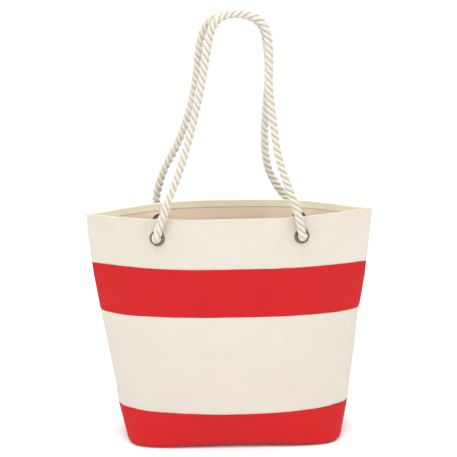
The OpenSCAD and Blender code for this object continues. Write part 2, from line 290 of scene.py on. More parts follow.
def cloth(share, z, off, side):
    """Points of the canvas, moved off outwards from its inner face, with the length along the
    panel from its middle. share runs from -1 at the left seam to 1 at the right one."""
    z = np.asarray(z, float)
    share = np.broadcast_to(share, (len(z), np.shape(share)[-1]))
    off = np.broadcast_to(np.asarray(off, float), share.shape)
    x, y, along, nx, ny = half_section(z)
    rows = []
    for i in range(len(z)):
        reach = np.abs(share[i]) * along[i, -1]
        found = [np.interp(reach, along[i], g[i]) for g in (x, y, nx, ny)]
        rows.append(found + [reach, np.full(len(reach), along[i, -1])])
    x, y, nx, ny, reach, full = np.moveaxis(np.array(rows), 1, 0)
    way = np.sign(share)
    s = reach * way
    tall = np.broadcast_to(z[:, None], share.shape)
    edge = full - reach
    groove = 0.0007 * sum(np.exp(-(((tall - seam) / 0.0013) ** 2)) for seam in SEAMS)
    groove = groove + 0.0009 * np.exp(-((edge / 0.0016) ** 2))
    groove = groove * np.clip(off / CANVAS_T, 0, 1)
    move = off + hang(s, tall, edge, side) - groove
    u = x / half_w(tall)
    dip = RIM_DIP * tall / BODY_H + sag(tall, way)
    lift = ARCH * (1 - np.minimum(1, (x / (0.42 * BASE_W)) ** 2)) ** 2 * np.exp(-tall / 0.030)
    height = tall - dip * u**2 + lift
    belly = swell(tall, way) * ease((u - 0.45) / 0.5)
    level_x = way * (x + nx * move + belly) + LEAN * np.maximum(0, 1 - tall / 0.250) ** 1.5
    points = np.stack([level_x, side * (y + ny * move), height], axis=-1)
    return seat_grommets(points, off, side), s


# ---------------------------------------------------------------- the handles' routes

# Points of the two routes from the left grommet to the right one, in millimetres:
# [x, how far it leans inwards in percent, height above the grommets]
ROUTE_HALF_PITCH = 0.114
FRONT_ROUTE = [
    [-114, 0, 0], [-113, 0, 13], [-107, 2, 29], [-96, 8, 62], [-84, 17, 90], [-74, 26, 118],
    [-66, 34, 142], [-59, 43, 167], [-51, 54, 195], [-44, 64, 225], [-38, 74, 253],
    [-33, 82, 279], [-29, 88, 301], [-24, 93, 322], [-15, 97, 339], [0, 99, 348],
    [18, 100, 350], [37, 99, 348], [52, 97, 340], [62, 93, 326], [66, 88, 306],
    [67, 79, 278], [66, 67, 236], [69, 56, 202], [73, 44, 168], [78, 32, 133],
    [86, 21, 103], [94, 14, 80], [101, 9, 62], [107, 5, 44], [111, 1, 26], [113, 0, 12],
    [114, 0, 0],
]
BACK_ROUTE = [
    [-114, 0, 0], [-116, 0, 13], [-118, 2, 28], [-116, 6, 45], [-109, 12, 71], [-98, 19, 97],
    [-85, 27, 121], [-74, 37, 147], [-65, 45, 171], [-58, 54, 196], [-52, 63, 222],
    [-48, 73, 249], [-45, 81, 275], [-42, 87, 299], [-36, 92, 320], [-26, 96, 335],
    [-11, 98, 343], [6, 99, 346], [23, 99, 346], [40, 98, 341], [54, 95, 330],
    [61, 91, 314], [64, 85, 294], [66, 77, 269], [66, 67, 237], [63, 57, 205],
    [61, 47, 176], [59, 37, 148], [60, 25, 113], [65, 15, 82], [74, 9, 62], [83, 5, 46],
    [93, 2, 33], [103, 0, 22], [110, 0, 11], [114, 0, 0],
]


def curve_through(points, steps):
    """Catmull-Rom curve: each stretch is a cubic whose slope at a point is that of the line
    between the points on both sides of it."""
    p = np.asarray(points, float)
    p = np.concatenate([p[:1], p, p[-1:]])
    a, b, c, d = (p[i : len(p) - 3 + i, None] for i in range(4))
    t = (np.arange(steps) / steps)[None, :, None]
    curve = b + (c - a) * t / 2 + (2 * a - 5 * b + 4 * c - d) * t**2 / 2
    curve = curve + (3 * b - a - 3 * c + d) * t**3 / 2
    return np.concatenate([curve.reshape(-1, 3), p[-1:]])


def even_steps(points, step):
    """The same line with its points a step apart."""
    along = np.concatenate([[0], np.cumsum(np.linalg.norm(np.diff(points, axis=0), axis=1))])
    count = max(2, round(along[-1] / step) + 1)
    want = np.linspace(0, along[-1], count)
    return np.stack([np.interp(want, along, points[:, i]) for i in range(3)], axis=1)


def handle_line(route, side):
    """A handle's centreline: out through the left grommet, up and over, and in through the
    right one. Between them it is the route's own curve, kept clear of the rim."""
    x, lean, height = np.array(route, float).T
    x, lean, height = x / 1000, lean / 100, height / 1000
    pull = x / np.maximum(np.abs(x), ROUTE_HALF_PITCH / 2)
    lean_y = -(ROPE_D + HANDLE_GAP) / 2
    line = np.stack(
        [
            x + (PIVOT[0] - ROUTE_HALF_PITCH) * pull,
            mix(PIVOT[1], lean_y, lean),
            PIVOT[2] + height,
        ],
        axis=1,
    )
    line = curve_through(line, 6)
    above = ROPE_SLOPE * np.maximum(0, line[:, 2] - BODY_H) / (ROPE_D / 2)
    reach = CANVAS_T + RIM_GAP + ROPE_D / 2 * np.sqrt(np.maximum(0, 1 - above**2))
    need = np.where(above < 1, wall_y(line[:, 0], np.minimum(line[:, 2], BODY_H)) + reach, 0)
    line[:, 1] = np.minimum(line[:, 1], -need)
    free = line[line[:, 2] > PIVOT[2] + 0.018]
    ends = []
    for turn in (-1, 1):
        flip = np.array([turn, 1, 1])
        inside, out = GROMMET_P * flip, GROMMET_N * flip
        foot = PIVOT * flip
        ends.append(
            [
                inside - 0.006 * out,
                inside + 0.000 * out,
                inside + 0.0055 * out,
                mix(inside + 0.0105 * out, foot, 0.2) + [0, 0, 0.0022],
                foot + [0, 0, 0.0085],
            ]
        )
    line = np.concatenate([ends[0], free[::4], ends[1][::-1]])
    line = even_steps(curve_through(line, 8), RING_STEP)
    return line * [1, -side, 1]


# ---------------------------------------------------------------- camera

LENS, DISTANCE = 176.8, 3.6
AIM = Vector((-0.0015, 0, 0.3477))
TILT, ROLL = math.radians(17), math.radians(-1.0)

camera_data = bpy.data.cameras.new("camera")
camera_data.lens = LENS
camera_data.sensor_width = 36
camera = bpy.data.objects.new("camera", camera_data)
camera.matrix_world = (
    Matrix.Translation(AIM + DISTANCE * Vector((0, -math.cos(TILT), math.sin(TILT))))
    @ Matrix.Rotation(math.pi / 2 - TILT, 4, "X")
    @ Matrix.Rotation(ROLL, 4, "Z")
)
bpy.context.scene.collection.objects.link(camera)
bpy.context.scene.camera = camera

# ---------------------------------------------------------------- materials


class Finish:
    """A material and its nodes. put() adds a node and sets its inputs, from values or links."""

    def __init__(self, name, roughness, **constants):
        self.material = bpy.data.materials.new(name)
        self.material.use_nodes = True
        self.tree = self.material.node_tree
        self.shader = self.tree.nodes["Principled BSDF"]
        self.shader.inputs["Roughness"].default_value = roughness
        for key, value in constants.items():
            self.shader.inputs[key.replace("_", " ")].default_value = value

    def put(self, kind, *inputs, **settings):
        made = self.tree.nodes.new("ShaderNode" + kind)
        for key, value in settings.items():
            setattr(made, key, value)
        for i, value in enumerate(inputs):
            if isinstance(value, bpy.types.NodeSocket):
                self.tree.links.new(value, made.inputs[i])
            elif value is not None:
                made.inputs[i].default_value = value
        return made

    def math(self, operation, *inputs):
        return self.put("Math", *inputs, operation=operation).outputs[0]

    def noise(self, vector, scale, detail=2.0, roughness=0.5):
        made = self.put("TexNoise", vector)
        made.inputs["Scale"].default_value = scale
        made.inputs["Detail"].default_value = detail
        made.inputs["Roughness"].default_value = roughness
        return made.outputs["Fac"]

    def between(self, value, low, high, to_low=0.0, to_high=1.0):
        made = self.put("MapRange", value, low, high, to_low, to_high)
        return made.outputs[0]

    def blend(self, factor, a, b, kind="MIX"):
        made = self.put("Mix", data_type="RGBA", blend_type=kind)
        for socket, value in zip((made.inputs[0], made.inputs[6], made.inputs[7]), (factor, a, b)):
            if isinstance(value, bpy.types.NodeSocket):
                self.tree.links.new(value, socket)
            elif isinstance(value, tuple):
                socket.default_value = (*value, 1)
            else:
                socket.default_value = value
        return made.outputs[2]

    def grown(self, color, height, distance, strength):
        """Joins the colour and the relief to the shader."""
        self.tree.links.new(color, self.shader.inputs["Base Color"])
        if height is not None:
            bump = self.put("Bump")
            bump.inputs["Strength"].default_value = strength
            bump.inputs["Distance"].default_value = distance
            self.tree.links.new(height, bump.inputs["Height"])
            self.tree.links.new(bump.outputs[0], self.shader.inputs["Normal"])
        return self.material


def canvas_finish(name, color, shade, fleck, fleck_share, sheen):
    """Plain-weave canvas on the cloth's own lengths: each thread is a rounded ridge that goes
    over one crossing and under the next, with slubs along it and a slow change of tone."""
    f = Finish(
        name,
        0.88,
        Sheen_Weight=sheen,
        Sheen_Roughness=0.55,
        Specular_IOR_Level=0.22,
    )
    uv = f.put("UVMap", uv_map="cloth").outputs[0]
    split = f.put("SeparateXYZ", uv)
    u, v = split.outputs[0], split.outputs[1]
    wave_u = f.math("SINE", f.math("MULTIPLY", u, math.pi / THREAD_PITCH))
    wave_v = f.math("SINE", f.math("MULTIPLY", v, math.pi / THREAD_PITCH))
    warp_over = f.math("GREATER_THAN", f.math("MULTIPLY", wave_u, wave_v), 0.0)
    ridge_u = f.math("ABSOLUTE", wave_u)
    ridge_v = f.math("ABSOLUTE", wave_v)
    warp = f.math("MULTIPLY", ridge_u, f.math("POWER", ridge_v, 0.45))
    weft = f.math("MULTIPLY", ridge_v, f.math("POWER", ridge_u, 0.45))
    weave = f.put("Mix", warp_over, None, weft, warp, data_type="FLOAT").outputs[0]
    along_warp = f.put("Mapping", uv, None, None, (1.0 / THREAD_PITCH, 38.0, 1.0)).outputs[0]
    along_weft = f.put("Mapping", uv, None, None, (38.0, 1.0 / THREAD_PITCH, 1.0)).outputs[0]
    slub_warp = f.noise(along_warp, 0.9)
    slub_weft = f.noise(along_weft, 0.9)
    slub = f.put("Mix", warp_over, None, slub_weft, slub_warp, data_type="FLOAT").outputs[0]
    tone = f.noise(uv, 14.0, 3.0, 0.6)
    fuzz = f.noise(uv, 2600.0, 1.0)
    value = f.math(
        "ADD",
        f.between(weave, 0.0, 1.0, 0.86, 1.03),
        f.math(
            "ADD",
            f.between(slub, 0.25, 0.75, -0.045, 0.045),
            f.math(
                "ADD",
                f.between(tone, 0.3, 0.7, -0.014, 0.014),
                f.between(fuzz, 0.3, 0.7, -0.02, 0.02),
            ),
        ),
    )
    # Painted shade: the colour runs towards shade where the weave dips between threads; the slubs,
    # tone and fuzz give the cloth's own uneven tone.
    lit = f.blend(f.between(value, 0.80, 1.06), shade, color)
    speck = f.put("TexVoronoi", uv, feature="F1")
    speck.inputs["Scale"].default_value = 95.0
    near = f.between(speck.outputs["Distance"], 0.03, 0.075, 1.0, 0.0)
    draw = f.put("SeparateXYZ", speck.outputs["Color"]).outputs[0]
    chosen = f.math("GREATER_THAN", draw, 1 - fleck_share)
    spots = f.math("MULTIPLY", f.math("MULTIPLY", near, chosen), 0.55)
    color_out = f.blend(spots, lit, fleck)
    height = f.math("ADD", weave, f.between(slub, 0.2, 0.8, -0.25, 0.25))
    return f.grown(color_out, height, 0.00028, 0.75)


def tape_finish(name, color, shade):
    """Cotton twill tape: fine slanting ribs."""
    f = Finish(name, 0.85, Sheen_Weight=0.15, Specular_IOR_Level=0.2)
    uv = f.put("UVMap", uv_map="cloth").outputs[0]
    split = f.put("SeparateXYZ", uv)
    slant = f.math("ADD", split.outputs[0], f.math("MULTIPLY", split.outputs[1], 0.6))
    rib = f.math("ABSOLUTE", f.math("SINE", f.math("MULTIPLY", slant, math.pi / 0.0011)))
    tone = f.noise(uv, 60.0, 3.0)
    value = f.math("ADD", f.math("MULTIPLY", rib, 0.6), f.math("MULTIPLY", tone, 0.5))
    # Painted shade: the colour runs towards shade in the hollows between the ribs, with the tape's
    # own uneven tone from the noise.
    return f.grown(f.blend(f.between(value, 0.1, 1.0), shade, color), rib, 0.00022, 0.6)


def thread_finish(name, color, shade):
    """Sewing thread: an uneven tone and a fine bump, both from noise."""
    f = Finish(name, 0.7, Sheen_Weight=0.2, Specular_IOR_Level=0.3)
    place = f.put("TexCoord").outputs["Object"]
    tone = f.noise(place, 900.0, 2.0)
    return f.grown(f.blend(f.between(tone, 0.3, 0.7), shade, color), tone, 0.0001, 0.4)


def rope_finish(name, color, shade, groove):
    """Cotton rope: yarns that lie nearly along the rope across each strand, loose fibres, painted
    shade between the yarns, and painted shade down in the grooves between strands."""
    f = Finish(name, 0.9, Sheen_Weight=0.35, Sheen_Roughness=0.6, Specular_IOR_Level=0.15)
    uv = f.put("UVMap", uv_map="rope").outputs[0]
    split = f.put("SeparateXYZ", uv)
    u, v = split.outputs[0], split.outputs[1]
    turn = f.math("ADD", f.math("MULTIPLY", u, 30.0), f.math("MULTIPLY", v, 30.0 * 0.62 / LAY))
    yarn = f.math("ABSOLUTE", f.math("SINE", f.math("MULTIPLY", turn, math.pi)))
    across = f.put("CombineXYZ", f.math("MULTIPLY", turn, 2.5), f.math("MULTIPLY", v, 160.0), 0.0)
    fibre = f.noise(across.outputs[0], 2.2, 3.0, 0.6)
    place = f.put("TexCoord").outputs["Object"]
    tone = f.noise(place, 45.0, 3.0)
    groove_shade = f.put("Attribute", attribute_name="groove").outputs["Fac"]
    value = f.math(
        "ADD",
        f.math("MULTIPLY", f.math("POWER", yarn, 0.6), 0.45),
        f.math("ADD", f.math("MULTIPLY", fibre, 0.55), f.math("MULTIPLY", tone, 0.3)),
    )
    lit = f.blend(f.between(value, 0.35, 1.0), shade, color)
    # Painted shade: the groove attribute runs the colour towards the groove colour between the
    # strands.
    color_out = f.blend(f.math("MULTIPLY", f.math("POWER", groove_shade, 1.6), 0.85), lit, groove)
    height = f.math("ADD", f.math("POWER", yarn, 0.7), f.math("MULTIPLY", fibre, 0.7))
    return f.grown(color_out, height, 0.0004, 0.8)


def metal_finish(name, color, shade):
    """Antique nickel: a soft brushed gloss with darker metal in the hollows."""
    f = Finish(name, 0.34, Metallic=1.0)
    place = f.put("TexCoord").outputs["Object"]
    tone = f.noise(place, 260.0, 4.0, 0.6)
    fine = f.noise(place, 2400.0, 2.0)
    hollow = f.put("Attribute", attribute_name="groove").outputs["Fac"]
    worn = f.math("ADD", f.between(tone, 0.35, 0.65, 0.0, 0.6), f.math("MULTIPLY", hollow, 0.7))
    return f.grown(f.blend(f.math("MINIMUM", worn, 1.0), color, shade), fine, 0.00004, 0.35)


NATURAL = canvas_finish(
    "natural_canvas", (0.68, 0.63, 0.56), (0.53, 0.485, 0.42), (0.36, 0.28, 0.19), 0.10, 0.12
)
# Painted light: the canvas's inner face is a lighter, warmer copy of the natural canvas, painted to
# stand in for light bounced round inside the bag.
NATURAL_INSIDE_PAINTED_LIGHT = canvas_finish(
    "natural_canvas_inside_painted_light", (0.92, 0.81, 0.66), (0.80, 0.69, 0.54), (0.50, 0.38, 0.26), 0.12, 0.10
)
# A little light comes through the canvas to its inside
inside_shader = NATURAL_INSIDE_PAINTED_LIGHT.node_tree.nodes["Principled BSDF"]
for name, value in (("Weight", 0.5), ("Radius", (1.0, 0.85, 0.65)), ("Scale", CANVAS_T)):
    inside_shader.inputs["Subsurface " + name].default_value = value
RED = canvas_finish(
    "red_canvas", (0.58, 0.0115, 0.0125), (0.39, 0.008, 0.009), (0.66, 0.15, 0.14), 0.02, 0.03
)
TAPE = tape_finish("cotton_tape", (0.88, 0.83, 0.62), (0.74, 0.69, 0.51))
# The rope's shade colour is painted shade between the yarns, and its last colour is painted shade
# in the grooves between strands.
ROPE = rope_finish("cotton_rope", (0.77, 0.73, 0.64), (0.61, 0.56, 0.47), (0.43, 0.36, 0.26))
METAL = metal_finish("antique_nickel", (0.24, 0.22, 0.19), (0.06, 0.05, 0.045))
NATURAL_THREAD = thread_finish("natural_thread", (0.80, 0.73, 0.60), (0.58, 0.50, 0.38))
RED_THREAD = thread_finish("red_thread", (0.60, 0.022, 0.028), (0.28, 0.006, 0.010))

# ---------------------------------------------------------------- mesh helpers


def grid_faces(rows, cols, first=0, flip=False, wrap=False):
    """Four-cornered faces of a grid of points; wrap joins its last column to its first."""
    i, j = np.meshgrid(np.arange(rows - 1), np.arange(cols if wrap else cols - 1), indexing="ij")
    k = (j + 1) % cols
    a, b, c, d = i * cols + j, i * cols + k, (i + 1) * cols + k, (i + 1) * cols + j
    faces = np.stack([a, d, c, b] if flip else [a, b, c, d], axis=-1)
    return faces.reshape(-1, 4) + first


def make_piece(
    name, points, faces, finishes, uv=None, uv_name="cloth", finish_of=None, groove=None
):
    """A mesh object from whole arrays: faces are fours of point numbers, and a three-cornered
    face has its last number twice. uv is one place for each point or each face corner."""
    faces = np.asarray(faces)
    count = np.where(faces[:, 2] == faces[:, 3], 3, 4)
    corners = faces[np.arange(4)[None, :] < count[:, None]]
    mesh = bpy.data.meshes.new(name)
    mesh.vertices.add(len(points))
    mesh.vertices.foreach_set("co", np.asarray(points, np.float32).ravel())
    mesh.loops.add(len(corners))
    mesh.loops.foreach_set("vertex_index", corners.astype(np.int32))
    mesh.polygons.add(len(faces))
    starts = np.concatenate([[0], np.cumsum(count)[:-1]])
    mesh.polygons.foreach_set("loop_start", starts.astype(np.int32))
    mesh.polygons.foreach_set("use_smooth", np.ones(len(faces), bool))
    for finish in finishes:
        mesh.materials.append(finish)
    if finish_of is not None:
        mesh.polygons.foreach_set("material_index", np.asarray(finish_of, np.int32))
    if uv is not None:
        layer = mesh.uv_layers.new(name=uv_name)
        flat = uv[np.arange(4)[None, :] < count[:, None]] if np.ndim(uv) == 3 else uv[corners]
        layer.uv.foreach_set("vector", np.asarray(flat, np.float32).ravel())
    if groove is not None:
        layer = mesh.attributes.new("groove", "FLOAT", "POINT")
        layer.data.foreach_set("value", np.asarray(groove, np.float32))
    mesh.update()
    mesh.validate()
    piece = bpy.data.objects.new(name, mesh)
    bpy.context.scene.collection.objects.link(piece)
    return piece


def weld(piece, gap=2e-6):
    """Joins points that coincide and drops faces that this leaves with no area."""
    work = bmesh.new()
    work.from_mesh(piece.data)
    bmesh.ops.remove_doubles(work, verts=work.verts, dist=gap)
    bmesh.ops.dissolve_degenerate(work, edges=work.edges, dist=gap / 2)
    work.to_mesh(piece.data)
    work.free()
    return piece


def two_faced(outer, inner, keep=None):
    """Faces of a wall whose two sides are grids of the same rows and columns: both grids, and a
    strip along every edge that is left open."""
    rows, cols = outer.shape[:2]
    faces = grid_faces(rows, cols)
    if keep is not None:
        faces = faces[keep.ravel()]
    n = rows * cols
    a, b = faces, np.roll(faces, -1, axis=1)
    ends = np.stack([a.ravel(), b.ravel()], axis=1)
    code, back = ends[:, 0] * n + ends[:, 1], ends[:, 1] * n + ends[:, 0]
    free = ends[~np.isin(code, back)]
    strip = np.stack([free[:, 1], free[:, 0], free[:, 0] + n, free[:, 1] + n], axis=1)
    points = np.concatenate([outer.reshape(-1, 3), inner.reshape(-1, 3)])
    sides = np.concatenate([np.zeros(len(faces)), np.ones(len(faces)), np.zeros(len(strip))])
    return points, np.concatenate([faces, faces[:, ::-1] + n, strip]), sides


# ---------------------------------------------------------------- rope


def frames_along(line):
    """Two directions square to a line at each of its points, carried along it with no twist."""
    along = unit(np.gradient(line, axis=0))
    first = np.cross(along[0], [0.31, 0.2, 0.93])
    across = [first / np.linalg.norm(first)]
    for t in along[1:]:
        v = across[-1] - t * (across[-1] @ t)
        across.append(v / np.linalg.norm(v))
    across = np.array(across)
    return along, across, np.cross(along, across)


def lobes(angle):
    """Radius of three strands pressed together, as a share of the rope's: each is a circle of
    0.52 set 0.48 off the middle."""
    near = (angle + np.pi / 3) % (2 * np.pi / 3) - np.pi / 3
    return 0.48 * np.cos(near) + np.sqrt(0.52**2 - (0.48 * np.sin(near)) ** 2)


def rope(name, line):
    """A three-strand rope along line: its three-lobed section turns left-handed, once in each
    lay, and both ends are closed by a low dome."""
    along, side, up = frames_along(line)
    s = np.concatenate([[0], np.cumsum(np.linalg.norm(np.diff(line, axis=0), axis=1))])
    angle = np.arange(ROPE_SIDES) * 2 * np.pi / ROPE_SIDES
    turn = angle[None] - 2 * np.pi * s[:, None] / LAY
    share = lobes(angle)
    radius = ROPE_D / 2 * share[None] * np.ones((len(s), 1))
    swell = 1 + 0.018 * np.sin(2 * np.pi * s / 0.061) + 0.012 * np.sin(2 * np.pi * s / 0.023)
    radius = radius * swell[:, None]
    rings = (
        line[:, None]
        + (radius * np.cos(turn))[..., None] * side[:, None]
        + (radius * np.sin(turn))[..., None] * up[:, None]
    )
    tips = [line[0] - 0.0015 * along[0], line[-1] + 0.0015 * along[-1]]
    points = np.concatenate([rings.reshape(-1, 3), tips])
    n = len(line) * ROPE_SIDES
    faces = grid_faces(len(line), ROPE_SIDES, wrap=True)
    j = np.arange(ROPE_SIDES)
    k = (j + 1) % ROPE_SIDES
    last_ring = n - ROPE_SIDES
    first = np.stack([0 * j + n, k, j, j], axis=1)
    last = np.stack([0 * j + n + 1, last_ring + j, last_ring + k, last_ring + k], axis=1)
    u0, u1 = j / ROPE_SIDES, (j + 1) / ROPE_SIDES
    v = s[:, None]
    tall = np.ones((len(line) - 1, 1))
    corner = [
        np.stack([u0 * tall, v[:-1] + 0 * u0], axis=-1),
        np.stack([u1 * tall, v[:-1] + 0 * u0], axis=-1),
        np.stack([u1 * tall, v[1:] + 0 * u0], axis=-1),
        np.stack([u0 * tall, v[1:] + 0 * u0], axis=-1),
    ]
    uv = np.stack(corner, axis=2).reshape(-1, 4, 2)
    cap = np.stack([np.stack([u0, 0 * u0], axis=-1)] * 4, axis=1)
    uv = np.concatenate([uv, cap, cap + [0, s[-1]]])
    # Painted shade: how far the rope's colour runs to the groove colour at each point round the
    # section, 0 on a strand's crown and 1 in a groove; 0.4 on the end domes.
    depth = np.clip((share.max() - share) / (share.max() - share.min()), 0, 1)
    groove = np.concatenate([np.tile(depth, len(line)), [0.4, 0.4]])
    return make_piece(
        name,
        points,
        np.concatenate([faces, first, last]),
        [ROPE],
        uv=uv,
        uv_name="rope",
        groove=groove,
    )


def knot_line(flip):
    """An overhand knot: two lobes of a trefoil (x = sin t + 2 sin 2t, y = cos t - 2 cos 2t,
    depth = sin 3t) that lies flat to the wall, a straight stretch in from the grommet, and a
    tail that hangs from the lobe left open."""
    t = np.radians(np.linspace(308, 628, 15))
    plane_x = 0.0049 * (np.sin(t) + 2 * np.sin(2 * t))
    plane_z = 0.0049 * (np.cos(t) - 2 * np.cos(2 * t))
    inward = -0.0056 * -np.sin(3 * t)
    trefoil = np.stack([plane_x, plane_z, inward], axis=1)
    lead = [[0, 0.010, -0.028], [0, 0.010, -0.020], [0, 0.010, -0.013], [-0.004, 0.0115, -0.006]]
    lead.append([-0.0105, 0.0115, -0.001])
    tail = [[-0.013, 0.0105, 0.0075], [-0.0195, 0.005, 0.007], [-0.0215, -0.005, 0.005]]
    tail += [[-0.0205, -0.016, 0.003], [-0.019, -0.028, 0.001], [-0.019, -0.042, 0]]
    local = np.concatenate([lead, trefoil, tail])
    centre = GROMMET_P - KNOT_SET * GROMMET_N - [0, 0, KNOT_DROP]
    inwards = -GROMMET_N * [1, 1, 0] / np.hypot(*GROMMET_N[:2])
    across = np.array([inwards[1], -inwards[0], 0])
    line = centre + local[:, :1] * across + local[:, 1:2] * [0, 0, 1] + local[:, 2:] * inwards
    return even_steps(curve_through(line, 8), RING_STEP) * flip


handles = {}
for side_name, side, route in (("front", FRONT, FRONT_ROUTE), ("back", BACK, BACK_ROUTE)):
    line = handle_line(route, side)
    piece = rope(side_name + "_handle", line)
    handles[side_name] = (piece, line)

knots = {}
for corner, flip in CORNERS.items():
    line = knot_line(flip)
    knots[corner] = rope(corner + "_overhand_knot", line)
    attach(knots[corner], "bag")
    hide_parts(corner + "_knot")


def rope_bend(name, centre):
    """The heart of the rope where it turns up out of a grommet: a ball, buried in the rope where
    the handle stands."""
    rise, turn = np.meshgrid(
        np.radians(np.linspace(-90, 90, 17)), np.radians(np.arange(0, 360, 12)), indexing="ij"
    )
    flat = np.cos(rise)
    ball = np.stack([flat * np.cos(turn), flat * np.sin(turn), np.sin(rise)], axis=-1)
    points = (centre + BEND_R * ball).reshape(-1, 3)
    uv = np.stack([turn / (2 * math.pi), rise * BEND_R], axis=-1).reshape(-1, 2)
    # Painted shade: a little of the groove colour all over the ball.
    groove = np.full(len(points), 0.3)
    faces = grid_faces(*turn.shape, wrap=True)
    return weld(make_piece(name, points, faces, [ROPE], uv=uv, uv_name="rope", groove=groove))


for corner, flip in CORNERS.items():
    line = handles[corner.split("_")[0]][1]
    nearest = line[np.argmin(np.linalg.norm(line - PIVOT * flip, axis=1))]
    piece = rope_bend(corner + "_rope_bend", nearest)
    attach(piece, "bag")

for side_name, (piece, line) in handles.items():
    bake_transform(piece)
    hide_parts(side_name + "_handle_rope")

# ---------------------------------------------------------------- canvas


def band_rows(z0, z1, step=0.0032):
    """Heights of a band's rows: close together beside each seam, then evenly apart."""
    middle = np.linspace(z0 + NEAR_SEAM[-1], z1 - NEAR_SEAM[-1], round((z1 - z0) / step))
    return np.concatenate([z0 + NEAR_SEAM[:-1], middle, (z1 - NEAR_SEAM[:-1])[::-1]])


def panel_shares(columns=210):
    """Places across a panel, closer together at its side seams."""
    ends = np.array([0, 0.0018, 0.0040, 0.0068])
    middle = np.linspace(-1 + 0.010, 1 - 0.010, columns)
    return np.concatenate([-1 + ends, middle, (1 - ends)[::-1]])


def hole_in(outer, inner, side):
    """Gathers the points inside each grommet's barrel onto its circle, and says which faces are
    left: those not wholly inside it."""
    inside = np.zeros(outer.shape[:2], bool)
    for turn in (-1, 1):
        flip = np.array([turn, -side, 1])
        centre, out = GROMMET_P * flip, GROMMET_N * flip
        for grid in (outer, inner):
            q = grid - centre
            height = (q @ out)[..., None] * out
            flat = q - height
            far = np.linalg.norm(flat, axis=-1, keepdims=True)
            near = far[..., 0] < HOLE_R
            moved = centre + height + flat * (HOLE_R / np.maximum(far, 1e-9))
            grid[near] = moved[near]
            if grid is outer:
                inside |= near
    cell = inside[:-1, :-1] & inside[1:, :-1] & inside[:-1, 1:] & inside[1:, 1:]
    return ~cell


def facing(faces, side):
    """The back panel is the front one turned over, so its faces are turned round."""
    return faces if side == FRONT else faces[:, ::-1]


def band_piece(name, node, side, z, off_out, off_in, finish, inside_finish, holes=False):
    """One band of a panel, and how wide it is round the panel halfway up."""
    shares = panel_shares()
    outer, s = cloth(shares, z, np.asarray(off_out)[:, None], side)
    inner, _ = cloth(shares, z, np.asarray(off_in)[:, None], side)
    keep = hole_in(outer, inner, side) if holes else None
    points, faces, sides = two_faced(outer, inner, keep)
    uv = np.stack([s, np.broadcast_to(np.asarray(z)[:, None], s.shape)], axis=-1).reshape(-1, 2)
    piece = make_piece(
        name,
        points,
        facing(faces, side),
        [finish, inside_finish],
        uv=np.concatenate([uv, uv]),
        finish_of=sides,
    )
    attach(piece, "bag")
    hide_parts(node)
    width = float(s[len(z) // 2, -1] - s[len(z) // 2, 0])
    return piece, width


def level(z, off_out=CANVAS_T, off_in=0.0):
    return z, np.full(len(z), off_out), np.full(len(z), off_in)


def rim_rows():
    """Rows of the top band, ending in the rounded fold of the rim: half a circle of half the
    canvas's thickness, shared by the outer and the inner face."""
    r = CANVAS_T / 2
    low = band_rows(TOP_Z0, BODY_H - r, 0.0024)
    bend = np.radians(np.linspace(0, 84, 6))[1:]
    z = np.concatenate([low, BODY_H - r + r * np.sin(bend)])
    out = np.concatenate([np.full(len(low), CANVAS_T), r + r * np.cos(bend)])
    return z, out, CANVAS_T - out


middle_rows = level(band_rows(BASE_BAND_H, STRIPE_Z0))
stripe_rows = level(band_rows(STRIPE_Z0, TOP_Z0))
canvas = {}
for side_name, side in (("front", FRONT), ("back", BACK)):
    for part, rows, finish, inside_finish, slot in (
        ("middle_band", middle_rows, NATURAL, NATURAL_INSIDE_PAINTED_LIGHT, "natural_canvas"),
        ("stripe", stripe_rows, RED, RED, "red_canvas"),
        ("top_band", rim_rows(), NATURAL, NATURAL_INSIDE_PAINTED_LIGHT, "natural_canvas"),
    ):
        node = side_name + "_" + part
        piece, width = band_piece(
            node + "_canvas", node, side, *rows, finish, inside_finish, holes=part == "top_band"
        )
        canvas[node] = (piece, width, rows[0][-1] - rows[0][0])


def base_half(off, side, shares):
    """One half of the red cup at one face of the canvas: down the wall, round the base edge in a
    quarter circle, and across the base to its middle line."""
    plain = np.linspace(BASE_BAND_H - 0.0055, BASE_EDGE_R, 14)
    wall = np.concatenate([BASE_BAND_H - NEAR_SEAM, plain])
    r = BASE_EDGE_R - (CANVAS_T - off)
    turn = np.radians(np.linspace(0, 90, 9))[1:]
    bend_z = BASE_EDGE_R - r * np.sin(turn)
    bend_off = off - r * (1 - np.cos(turn))
    z = np.concatenate([wall, bend_z])
    offs = np.concatenate([np.full(len(wall), off), bend_off])
    grid, s = cloth(shares, z, offs[:, None], side)
    edge = grid[-1]
    inwards = np.linspace(1, 0, 15)[1:, None]
    floor = np.stack(
        [
            np.broadcast_to(edge[:, 0], (len(inwards), len(shares))),
            edge[:, 1] * inwards,
            mix(CANVAS_T - off, edge[:, 2], inwards**2),
        ],
        axis=-1,
    )
    path = np.concatenate([BASE_BAND_H - wall, BASE_BAND_H - BASE_EDGE_R + turn * r])
    path = np.broadcast_to(path[:, None], s.shape)
    flat_v = path[-1] + np.abs(edge[:, 1]) * (1 - inwards)
    flat_u = np.broadcast_to(edge[:, 0], flat_v.shape)
    uv = np.stack([np.concatenate([s, flat_u]), np.concatenate([-path, -flat_v])], axis=-1)
    return np.concatenate([grid, floor]), uv


